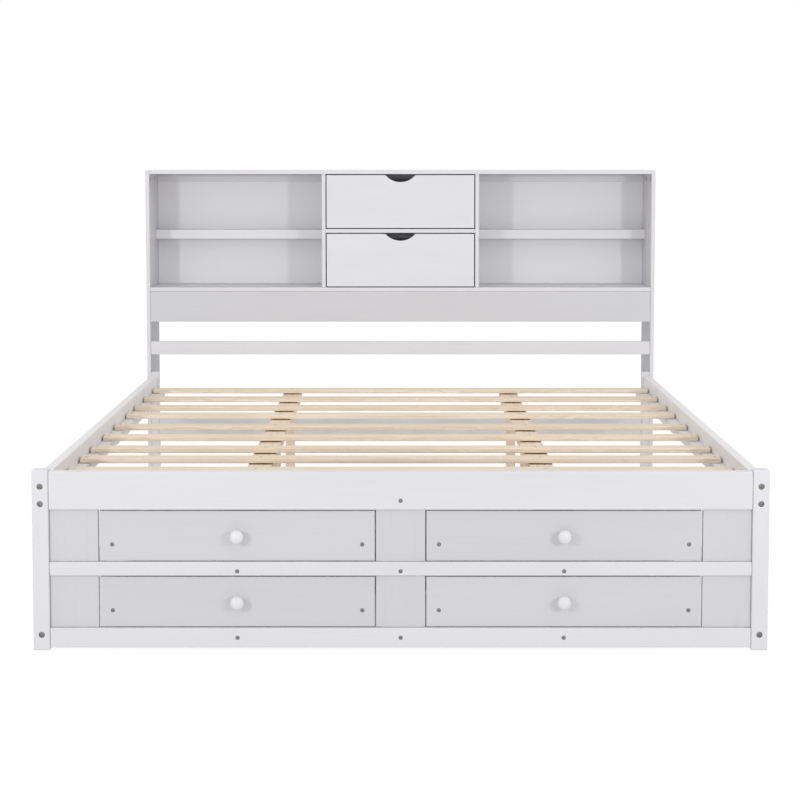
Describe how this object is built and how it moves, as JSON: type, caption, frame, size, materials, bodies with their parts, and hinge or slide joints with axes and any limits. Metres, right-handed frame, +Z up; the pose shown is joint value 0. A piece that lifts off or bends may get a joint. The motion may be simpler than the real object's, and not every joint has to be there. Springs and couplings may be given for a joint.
{
  "type": "platform bed with storage drawers",
  "caption": "White slatted platform bed with a bookcase headboard, drawers that pull out at the foot end and small drawers in the headboard.",
  "frame": {"origin": "on the floor at the centre of the bed's bounding box", "axes": "+Y towards the headboard, -Y towards the foot end where the large drawers open, +X to the right as seen from the foot end, +Z up"},
  "size_m": [1.6, 2.332, 1.032],
  "materials": {
    "frame_white": "satin white paint",
    "panel_grey": "satin pale grey-white paint",
    "shelf_white": "satin white paint",
    "drawer_board": "matt white-faced board",
    "knob_white": "semi-gloss white paint",
    "pine": "sanded, unfinished",
    "fastener_steel": "zinc-plated screws and bolts"
  },
  "bodies": {
    "frame": {"foot_post_left": "frame_white", "foot_post_right": "frame_white", "foot_top_rail": "frame_white", "foot_mid_rail": "frame_white", "foot_bottom_rail": "frame_white", "side_rail_left": "frame_white", "side_rail_right": "frame_white", "lower_side_rail_left": "frame_white", "lower_side_rail_right": "frame_white", "slat_ledger_left": "frame_white", "slat_ledger_right": "frame_white", "headboard_side_left": "frame_white", "headboard_side_right": "frame_white", "headboard_leg_left": "frame_white", "headboard_leg_right": "frame_white", "headboard_divider_left": "frame_white", "headboard_divider_right": "frame_white", "headboard_ledge_left": "frame_white", "headboard_ledge_right": "frame_white", "headboard_top": "frame_white", "headboard_floor": "frame_white", "headboard_mid_shelf": "frame_white", "headboard_upper_rail": "frame_white", "headboard_lower_rail": "frame_white", "foot_panel_left": "panel_grey", "foot_panel_middle": "panel_grey", "foot_panel_right": "panel_grey", "headboard_apron": "panel_grey", "headboard_back": "shelf_white", "drawer_back_board": "drawer_board", "slat_01": "pine", "slat_02": "pine", "slat_03": "pine", "slat_04": "pine", "slat_05": "pine", "slat_06": "pine", "slat_07": "pine", "slat_08": "pine", "slat_09": "pine", "slat_10": "pine", "centre_beam_left": "pine", "centre_beam_right": "pine", "centre_leg_left": "pine", "centre_leg_right": "pine", "drawer_guide_left": "pine", "drawer_guide_right": "pine"},
    "lower_left_drawer": {"drawer_front_lower_left": "panel_grey", "drawer_box_lower_left": "drawer_board", "drawer_knob_lower_left": "knob_white"},
    "lower_right_drawer": {"drawer_front_lower_right": "panel_grey", "drawer_box_lower_right": "drawer_board", "drawer_knob_lower_right": "knob_white"},
    "upper_left_drawer": {"drawer_front_upper_left": "panel_grey", "drawer_box_upper_left": "drawer_board", "drawer_knob_upper_left": "knob_white"},
    "upper_right_drawer": {"drawer_front_upper_right": "panel_grey", "drawer_box_upper_right": "drawer_board", "drawer_knob_upper_right": "knob_white"},
    "lower_headboard_drawer": {"headboard_drawer_lower": "shelf_white"},
    "upper_headboard_drawer": {"headboard_drawer_upper": "shelf_white"}
  },
  "joints": [
    {"name": "lower_left_drawer_slide", "type": "slide", "parent": "frame", "child": "lower_left_drawer", "axis": [0, -1, 0], "range_m": [0, 0.45]},
    {"name": "lower_right_drawer_slide", "type": "slide", "parent": "frame", "child": "lower_right_drawer", "axis": [0, -1, 0], "range_m": [0, 0.45]},
    {"name": "upper_left_drawer_slide", "type": "slide", "parent": "frame", "child": "upper_left_drawer", "axis": [0, -1, 0], "range_m": [0, 0.45]},
    {"name": "upper_right_drawer_slide", "type": "slide", "parent": "frame", "child": "upper_right_drawer", "axis": [0, -1, 0], "range_m": [0, 0.45]},
    {"name": "lower_headboard_drawer_slide", "type": "slide", "parent": "frame", "child": "lower_headboard_drawer", "axis": [0, -1, 0], "range_m": [0, 0.15]},
    {"name": "upper_headboard_drawer_slide", "type": "slide", "parent": "frame", "child": "upper_headboard_drawer", "axis": [0, -1, 0], "range_m": [0, 0.15]}
  ]
}
